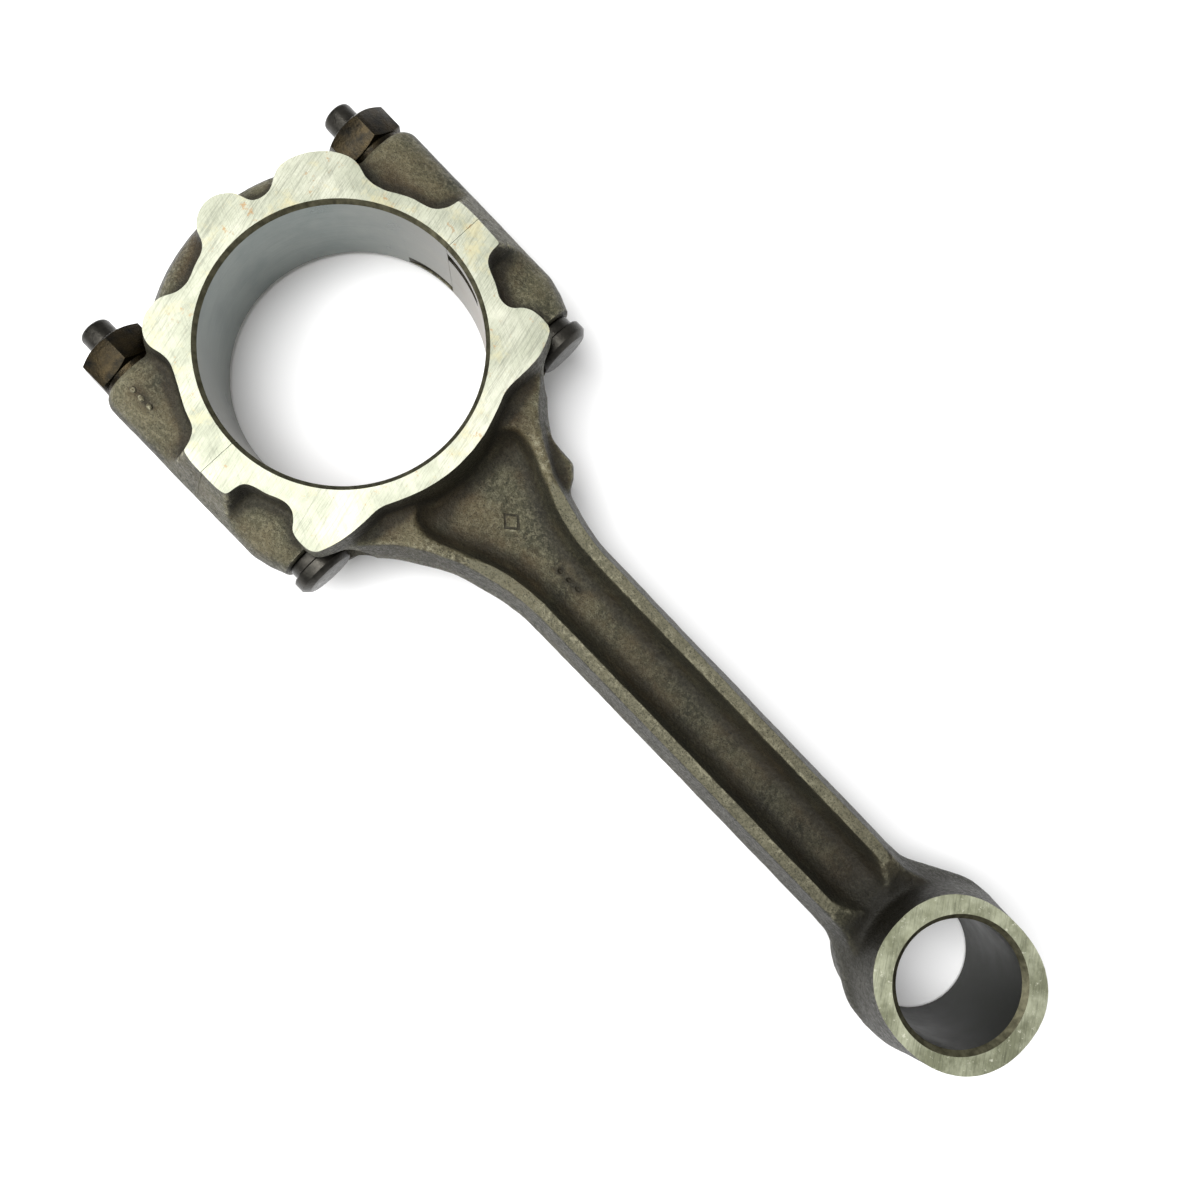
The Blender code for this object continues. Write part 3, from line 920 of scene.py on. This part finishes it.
def machined_face():
    """Ground end faces: pale steel with fine slanted scratches, yellowed stains and rust spots."""
    n = Nodes("machined_face")
    scratches = n.noise((5.0, 0.20, 1.0), 4.0, 0.75, turn=-12.0)
    long_marks = n.noise((2.4, 0.08, 1.0), 3.0, 0.7, turn=-16.0)
    cross = n.noise((0.30, 4.0, 1.0), 3.0, 0.65, turn=25.0)
    cloud = n.noise(0.10, 5.0, 0.6)
    base = n.ramp(
        cloud,
        (0.36, (0.262, 0.274, 0.208)), (0.50, (0.338, 0.348, 0.272)), (0.64, (0.415, 0.420, 0.338)),
    )
    colour = n.mix(1.0, base, n.ramp(scratches, (0.40, 0.72), (0.52, 1.0)), "MULTIPLY")
    colour = n.mix(1.0, colour, n.ramp(long_marks, (0.38, 0.80), (0.44, 1.0)), "MULTIPLY")
    colour = n.mix(0.6, colour, n.ramp(cross, (0.34, 0.78), (0.50, 1.0)), "MULTIPLY")
    yellowed = n.ramp(n.noise(0.16, 5.0, 0.7), (0.53, 0.0), (0.66, 1.0))
    colour = n.mix(n.math("MULTIPLY", yellowed, 0.4), colour, (0.44, 0.38, 0.19))
    rust = n.ramp(n.noise(0.42, 6.0, 0.75), (0.61, 0.0), (0.67, 1.0))
    colour = n.mix(n.math("MULTIPLY", rust, 0.75), colour, (0.26, 0.15, 0.055))
    roughness = n.ramp(scratches, (0.30, 0.40), (0.72, 0.56))
    n.bump((scratches, 0.02), (cross, 0.010), (n.noise(0.5, 5.0, 0.7), 0.035))
    return n.finish(colour, roughness, 0.70)


def bored_wall():
    """The honed crank bore: smooth steel, with painted light: blue-grey at the cap, warmer and
    darker towards the rod.
    """
    n = Nodes("bored_wall")
    rings = n.noise((0.10, 0.10, 7.0), 2.0, 0.5)
    cloud = n.noise(0.12, 5.0, 0.6)
    cool_painted_light = n.ramp(cloud, (0.35, (0.155, 0.182, 0.172)), (0.62, (0.225, 0.250, 0.235)))
    warm_painted_light = n.ramp(cloud, (0.35, (0.115, 0.090, 0.068)), (0.62, (0.200, 0.162, 0.124)))
    # painted light and reflection: a cool, lighter grey at the cap turning warmer and darker
    # towards the rod
    colour = n.mix(n.along_rod(-20.0, 14.0), cool_painted_light, warm_painted_light)
    colour = n.mix(0.35, colour, n.ramp(rings, (0.35, 0.7), (0.6, 1.0)), "MULTIPLY")
    roughness = n.ramp(cloud, (0.30, 0.26), (0.70, 0.38))
    n.bump((rings, 0.006))
    return n.finish(colour, roughness, 0.9)


def chamfer_band():
    """The bore's chamfers, turned and left darker."""
    n = Nodes("chamfer_band")
    cloud = n.noise(0.8, 4.0, 0.6)
    colour = n.ramp(cloud, (0.35, (0.060, 0.056, 0.034)), (0.70, (0.135, 0.128, 0.080)))
    roughness = n.ramp(cloud, (0.35, 0.35), (0.70, 0.50))
    n.bump((n.noise(2.5, 2.0, 0.5), 0.02))
    return n.finish(colour, roughness, 0.85)


def pin_wall():
    """The pin bore: steel left nearly black, painted shade for the deep bore."""
    n = Nodes("pin_wall")
    cloud = n.noise(0.25, 4.0, 0.6)
    # painted shade: nearly black for the shade deep in the bore
    colour = n.ramp(cloud, (0.30, (0.007, 0.008, 0.006)), (0.70, (0.018, 0.019, 0.015)))
    roughness = n.ramp(cloud, (0.30, 0.30), (0.70, 0.42))
    n.bump((n.noise((0.3, 0.3, 6.0), 2.0, 0.5), 0.006))
    n.shader.inputs["Specular IOR Level"].default_value = 0.15
    return n.finish(colour, roughness, 0.25)


def pin_face():
    """The pin eye's faces: ground, a little greener and duller than the crank end's."""
    n = Nodes("pin_face")
    scratches = n.noise((5.0, 0.3, 1.0), 3.0, 0.7, turn=-35.0)
    cloud = n.noise(0.16, 5.0, 0.6)
    base = n.ramp(cloud, (0.40, (0.23, 0.24, 0.155)), (0.60, (0.46, 0.475, 0.34)))
    colour = n.mix(0.9, base, n.ramp(scratches, (0.34, 0.70), (0.55, 1.0)), "MULTIPLY")
    nicks = n.ramp(n.noise(0.9, 6.0, 0.8), (0.59, 0.0), (0.65, 1.0))
    colour = n.mix(n.math("MULTIPLY", nicks, 0.8), colour, (0.70, 0.70, 0.56))
    roughness = n.ramp(scratches, (0.30, 0.36), (0.72, 0.52))
    n.bump((scratches, 0.015), (n.noise(0.6, 5.0, 0.7), 0.03))
    return n.finish(colour, roughness, 0.75)


def dark_steel(name, low, high, rough, grain_depth):
    """Oxide-blacked or hardened steel, its tone drifting between two colours."""
    n = Nodes(name)
    cloud = n.noise(0.35, 6.0, 0.65)
    colour = n.ramp(cloud, (0.34, low), (0.68, high))
    roughness = n.ramp(n.noise(1.2, 4.0, 0.6), (0.30, rough - 0.07), (0.70, rough + 0.08))
    n.bump((n.noise(2.2, 4.0, 0.6), grain_depth))
    return n.finish(colour, roughness, 0.85)


# Faces to materials, and the wear and painted shade on the forging's skin


def face_centres(mesh):
    centres = np.empty(len(mesh.polygons) * 3)
    directions = np.empty(len(mesh.polygons) * 3)
    mesh.polygons.foreach_get("center", centres)
    mesh.polygons.foreach_get("normal", directions)
    return centres.reshape(-1, 3), directions.reshape(-1, 3)


# Material slots of the rod and the cap, in the order of `assemble`'s list
FORGED, CRANK_FACE, CRANK_WALL, CHAMFERS, PIN_WALL, PIN_FACE = range(6)


def paint_forging(obj, materials):
    """Tells the machined faces from the forged skin by where they lie and which way they look."""
    mesh = obj.data
    mesh.materials.clear()
    for material in materials:
        mesh.materials.append(material)
    centre, normal = face_centres(mesh)
    slots = np.full(len(centre), FORGED, np.int32)
    height, upward = np.abs(centre[:, 2]), np.abs(normal[:, 2])
    crank_r = np.hypot(centre[:, 0], centre[:, 1])
    pin_r = np.hypot(centre[:, 0] - CENTRES, centre[:, 1])
    flat = upward > 0.999
    slots[flat & (np.abs(height - CRANK_HALF_WIDTH) < 0.01)] = CRANK_FACE
    slots[flat & (np.abs(height - PIN_HALF_WIDTH) < 0.01) & (centre[:, 0] > 100.0)] = PIN_FACE
    radial = upward < 0.01
    slots[radial & (np.abs(crank_r - CRANK_BORE_R) < 0.05)] = CRANK_WALL
    slots[radial & (np.abs(pin_r - PIN_BORE_R) < 0.05)] = PIN_WALL
    sloped = (upward > 0.5) & (upward < 0.9) & (height > CRANK_HALF_WIDTH - 1.2)
    slots[sloped & (crank_r < CRANK_BORE_R + 0.9)] = CHAMFERS
    slots[sloped & (pin_r < PIN_BORE_R + 1.2)] = CHAMFERS
    joint = (np.abs(normal[:, 0]) > 0.999) & (np.abs(centre[:, 0]) < JOINT_GAP)
    slots[joint] = CRANK_FACE
    mesh.polygons.foreach_set("material_index", slots)
    mesh.update()


def age_and_shade_forging(obj):
    """Per-vertex amounts that the forging's material reads.

    Edge wear and hollow come from how the surface curves. Coined flange tops, trimmed flash and
    lugs, walls, and the saddle beside the pin eye come from where and which way it lies; the walls
    and the saddle are masks for painted shade.
    """
    mesh = obj.data
    edges = neighbours(mesh)
    co = coordinates(mesh)
    no = normals(mesh)
    length = np.linalg.norm(co[edges[:, 0]] - co[edges[:, 1]], axis=1)
    short = edges[length < 1.2]
    count = len(co)
    bend = -np.einsum("ij,ij->i", pull(co, short, count), no) / (VOXEL**2 / 4)
    isolated = np.bincount(short.ravel(), minlength=count) == 0
    bend[isolated] = 0.0
    bend = np.clip(bend, -1.5, 1.5)[:, None]
    narrow = bend.copy()
    for _ in range(3):
        narrow += 0.6 * pull(narrow, short, count)
    wide = np.minimum(bend, 0.0)
    for _ in range(14):
        wide += 0.6 * pull(wide, short, count)
    edge = np.clip((narrow[:, 0] - 0.30) / 0.5, 0.0, 1.0)
    hollow = np.clip(-wide[:, 0] / 0.16, 0.0, 1.0)
    coined = (np.abs(np.abs(co[:, 2]) - BEAM_HALF_THICK) < 0.02) & (co[:, 0] > 38.0)
    coined &= co[:, 0] < 130.5
    near_eye = np.clip(2.0 - np.abs(co[:, 0] - 134.8) / 2.6, 0.0, 1.0)
    saddle = near_eye * np.clip(1.9 - np.abs(co[:, 1]) / 6.0, 0.0, 1.0)
    wall = 1.0 - np.clip((np.abs(no[:, 2]) - 0.45) / 0.2, 0.0, 1.0)
    flash = wall * np.clip(2.6 - np.abs(co[:, 2]), 0.0, 1.0)
    outward = np.clip((no[:, 1] * np.sign(co[:, 1]) - 0.25) / 0.4, 0.0, 1.0)
    lugs = wall * outward * (np.abs(co[:, 1]) > 22.0) * np.clip(np.abs(co[:, 2]) - 2.5, 0.0, 1.0)
    trimmed = np.clip(0.35 * flash + lugs * (co[:, 0] > -8.0), 0.0, 1.0)
    amounts = {"edge": edge, "hollow": hollow, "coined": coined, "trimmed": trimmed}
    # wall and saddle are masks for painted shade in the forging's material
    amounts.update({"wall": wall * (1.0 - trimmed), "saddle": saddle})
    for name, values in amounts.items():
        layer = mesh.attributes.new(name, "FLOAT", "POINT")
        layer.data.foreach_set("value", values.astype(np.float32))


def dress(obj, material):
    obj.data.materials.clear()
    obj.data.materials.append(material)
    return obj


def place(obj, body, node):
    obj.data.transform(drawing_to_frame())
    obj.data.shade_smooth()
    obj.data.set_sharp_from_angle(angle=SMOOTH_ANGLE)
    obj.data.update()
    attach(obj, body)
    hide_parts(node)


def assemble():
    forging_materials = [
        forged_scale(), machined_face(), bored_wall(), chamfer_band(), pin_wall(), pin_face()
    ]
    for build, body, node in ((make_rod, "rod", "rod_body"), (make_cap, "cap", "bearing_cap")):
        forging = build()
        paint_forging(forging, forging_materials)
        age_and_shade_forging(forging)
        place(forging, body, node)
    bolt_steel = dark_steel("bolt_steel", (0.016, 0.015, 0.012), (0.040, 0.037, 0.031), 0.33, 0.05)
    nut_steel = dark_steel("nut_steel", (0.004, 0.0035, 0.002), (0.030, 0.021, 0.008), 0.27, 0.05)
    for word, side, turn in (("left", 1, -8.7), ("right", -1, -7.0)):
        bolt = dress(make_bolt(word, side), bolt_steel)
        place(bolt, "rod", f"cap_bolt_{word}")
        nut = dress(make_nut(word, side, 90.0 + turn), nut_steel)
        place(nut, f"nut_{word}", f"cap_nut_{word}")


# The studio


def make_floor():
    size = FLOOR_HALF_SIZE
    corners = [(-size, -size, 0), (size, -size, 0), (size, size, 0), (-size, size, 0)]
    floor = mesh_object("floor", corners, [(0, 1, 2, 3)])
    floor.location.z = CAD_LOW.z - FLOOR_DROP
    n = Nodes("floor_paper")
    cloud = n.noise(0.004, 2.0, 0.5)
    colour = n.ramp(cloud, (0.3, (0.93, 0.93, 0.93)), (0.7, (0.95, 0.95, 0.95)))
    roughness = n.ramp(cloud, (0.3, 0.85), (0.7, 0.9))
    floor.data.materials.append(n.finish(colour, roughness, 0.0))


def make_lights():
    world = bpy.data.worlds.new("studio")
    world.use_nodes = True
    background = world.node_tree.nodes["Background"]
    background.inputs["Color"].default_value = (1.0, 1.0, 1.0, 1.0)
    background.inputs["Strength"].default_value = WORLD_STRENGTH
    bpy.context.scene.world = world
    for name, place_at, size, power in LAMPS:
        data = bpy.data.lights.new(name, "AREA")
        data.shape = "SQUARE"
        data.size = size
        data.energy = power
        light = bpy.data.objects.new(name, data)
        light.location = place_at
        light.rotation_euler = (-Vector(place_at)).to_track_quat("-Z", "Y").to_euler()
        bpy.context.collection.objects.link(light)


def make_camera():
    """Looks down on the rod from near its middle, turned so that it lies across the picture."""
    tilt = Vector((math.radians(CAMERA_TILT[0]), math.radians(CAMERA_TILT[1]), 0.0))
    facing_down = Matrix.Diagonal((1.0, -1.0, -1.0))
    heading = Matrix.Rotation(math.radians(CAMERA_SPIN), 3, "Z")
    to_camera = Matrix.Rotation(tilt.length, 3, tilt.normalized()) @ facing_down @ heading
    data = bpy.data.cameras.new("camera")
    data.sensor_width = CAMERA_SENSOR
    data.lens = CAMERA_LENS
    camera = bpy.data.objects.new("camera", data)
    place_at = Vector((CAMERA_X, CAMERA_Y, CRANK_HALF_WIDTH + CAMERA_RISE))
    camera.matrix_world = Matrix.Translation(drawing_to_frame() @ place_at) @ (
        to_camera.transposed() @ Matrix.Diagonal((1.0, -1.0, -1.0))
    ).to_4x4()
    bpy.context.collection.objects.link(camera)
    bpy.context.scene.camera = camera


make_camera()
make_floor()
make_lights()
assemble()
bpy.context.scene.view_settings.view_transform = "Standard"
